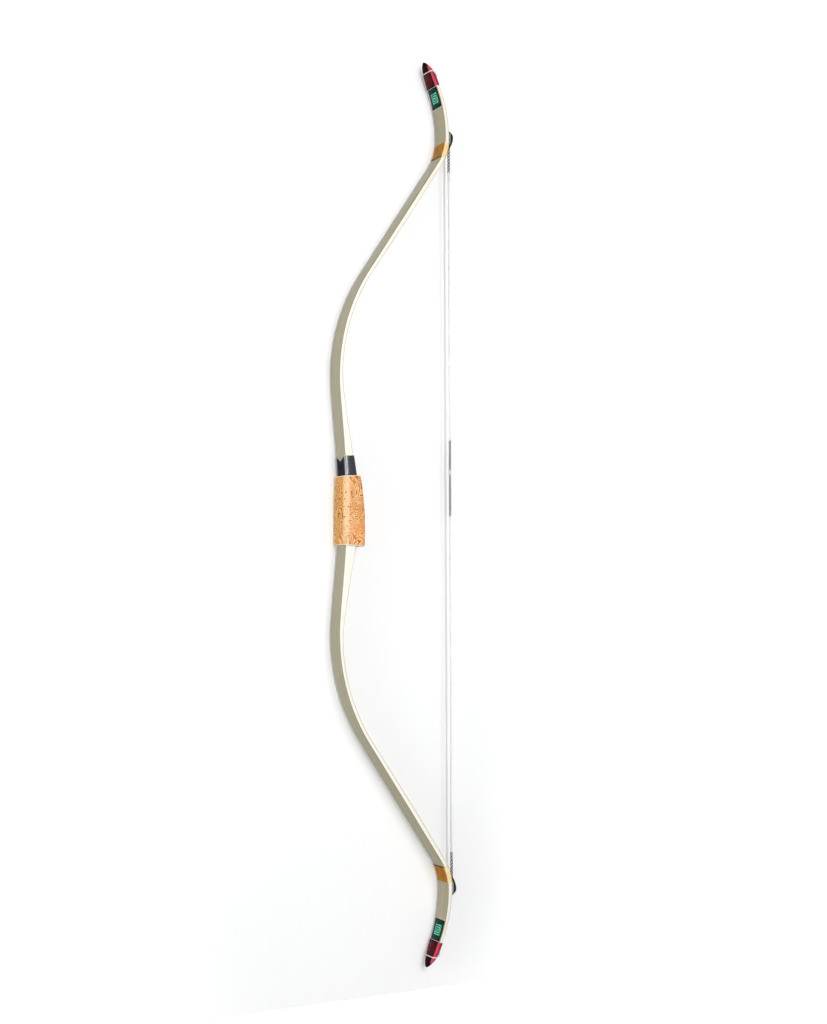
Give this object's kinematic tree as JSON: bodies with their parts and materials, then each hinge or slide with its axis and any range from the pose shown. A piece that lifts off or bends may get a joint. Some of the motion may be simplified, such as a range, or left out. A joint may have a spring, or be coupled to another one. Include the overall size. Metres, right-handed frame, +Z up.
{
  "type": "recurve bow",
  "caption": "Laminated recurve bow, strung, with stiff ears and string bridges, a printed grip sleeve, a leather arrow pass and lacquered tip caps.",
  "frame": {"origin": "inside the middle of the grip, 10 mm behind the back face, at half the bow's height", "axes": "+Z up along the bow, +X from the back toward the string, +Y across the limbs"},
  "size_m": [0.1934, 0.041, 1.345],
  "materials": {
    "maple": "pale maple, clear lacquer",
    "khaki_glass": "khaki glass laminate, semi-gloss",
    "burl_print": "orange sleeve with burl-like contour lines, satin",
    "black_leather": "black leather, glossy",
    "amber_wrap": "amber binding under clear lacquer",
    "dark_thread": "dark waxed thread",
    "bridge_block": "grey horn-like block, satin",
    "cherry_lacquer": "cherry-red lacquer, high gloss",
    "green_panel": "black panel with green fret ornament, glossy",
    "red_panel": "dark red panel with diaper ornament, glossy",
    "silver_line": "thin silver line",
    "string": "white waxed bowstring",
    "serving": "black serving thread"
  },
  "bodies": {
    "handle": {"riser_wedge": "maple", "handle_lamination": "maple", "palm_swell": "maple", "grip_sleeve": "burl_print", "arrow_pass_leather": "black_leather"},
    "upper_limb": {"upper_limb_core": "maple", "upper_ear_core": "maple", "upper_back_glass": "khaki_glass", "upper_belly_glass": "khaki_glass", "upper_knee_band": "amber_wrap", "upper_knee_binding": "dark_thread", "upper_string_bridge": "bridge_block", "upper_bridge_cover": "black_leather", "upper_tip_cap": "cherry_lacquer", "upper_green_panel": "green_panel", "upper_red_panel": "red_panel", "upper_panel_lines": "silver_line"},
    "upper_string_end": {"upper_nock_loop": "string", "upper_end_strand": "string"},
    "upper_string_half": {"upper_string": "string", "upper_end_serving": "serving", "upper_centre_serving": "serving", "nocking_knot": "string"},
    "lower_limb": {"lower_limb_core": "maple", "lower_ear_core": "maple", "lower_back_glass": "khaki_glass", "lower_belly_glass": "khaki_glass", "lower_knee_band": "amber_wrap", "lower_knee_binding": "dark_thread", "lower_string_bridge": "bridge_block", "lower_bridge_cover": "black_leather", "lower_tip_cap": "cherry_lacquer", "lower_green_panel": "green_panel", "lower_red_panel": "red_panel", "lower_panel_lines": "silver_line"},
    "lower_string_end": {"lower_nock_loop": "string", "lower_end_strand": "string"},
    "lower_string_half": {"lower_string": "string", "lower_end_serving": "serving", "lower_centre_serving": "serving"}
  },
  "joints": [
    {"name": "upper_limb_flex", "type": "hinge", "parent": "handle", "child": "upper_limb", "pos_m": [0.04337, 0, 0.3647], "axis": [0, 1, 0], "range_deg": [0, 36], "stiffness_Nm_per_rad": 45, "springref_deg": -17.19, "deforming": ["upper_back_glass", "upper_belly_glass"]},
    {"name": "upper_string_end_turn", "type": "hinge", "parent": "upper_limb", "child": "upper_string_end", "pos_m": [0.12978, 0, 0.65706], "axis": [0, -1, 0], "range_deg": [0, 58.5], "deforming": ["upper_nock_loop", "upper_end_strand"]},
    {"name": "upper_string_turn", "type": "hinge", "parent": "upper_string_end", "child": "upper_string_half", "pos_m": [0.16799, 0, 0.56116], "axis": [0, -1, 0], "range_deg": [0, 14.2], "deforming": ["upper_string", "upper_end_serving", "upper_centre_serving", "nocking_knot"]},
    {"name": "lower_limb_flex", "type": "hinge", "parent": "handle", "child": "lower_limb", "pos_m": [0.04337, 0, -0.3647], "axis": [0, -1, 0], "range_deg": [0, 36], "stiffness_Nm_per_rad": 45, "springref_deg": -17.19, "deforming": ["lower_back_glass", "lower_belly_glass"]},
    {"name": "lower_string_end_turn", "type": "hinge", "parent": "lower_limb", "child": "lower_string_end", "pos_m": [0.12978, 0, -0.65706], "axis": [0, 1, 0], "range_deg": [0, 52.8], "deforming": ["lower_nock_loop", "lower_end_strand"]},
    {"name": "lower_string_turn", "type": "hinge", "parent": "lower_string_end", "child": "lower_string_half", "pos_m": [0.16799, 0, -0.56116], "axis": [0, 1, 0], "range_deg": [0, 14.2], "deforming": ["lower_string", "lower_end_serving", "lower_centre_serving"]}
  ],
  "couplings": [
    {"joint": "upper_string_end_turn", "follows": "upper_limb_flex", "ratio": 1.6098},
    {"joint": "upper_string_turn", "follows": "upper_limb_flex", "ratio": 0.37968},
    {"joint": "lower_limb_flex", "follows": "upper_limb_flex", "ratio": 1},
    {"joint": "lower_string_end_turn", "follows": "upper_limb_flex", "ratio": 1.4531},
    {"joint": "lower_string_turn", "follows": "upper_limb_flex", "ratio": 0.37968}
  ]
}
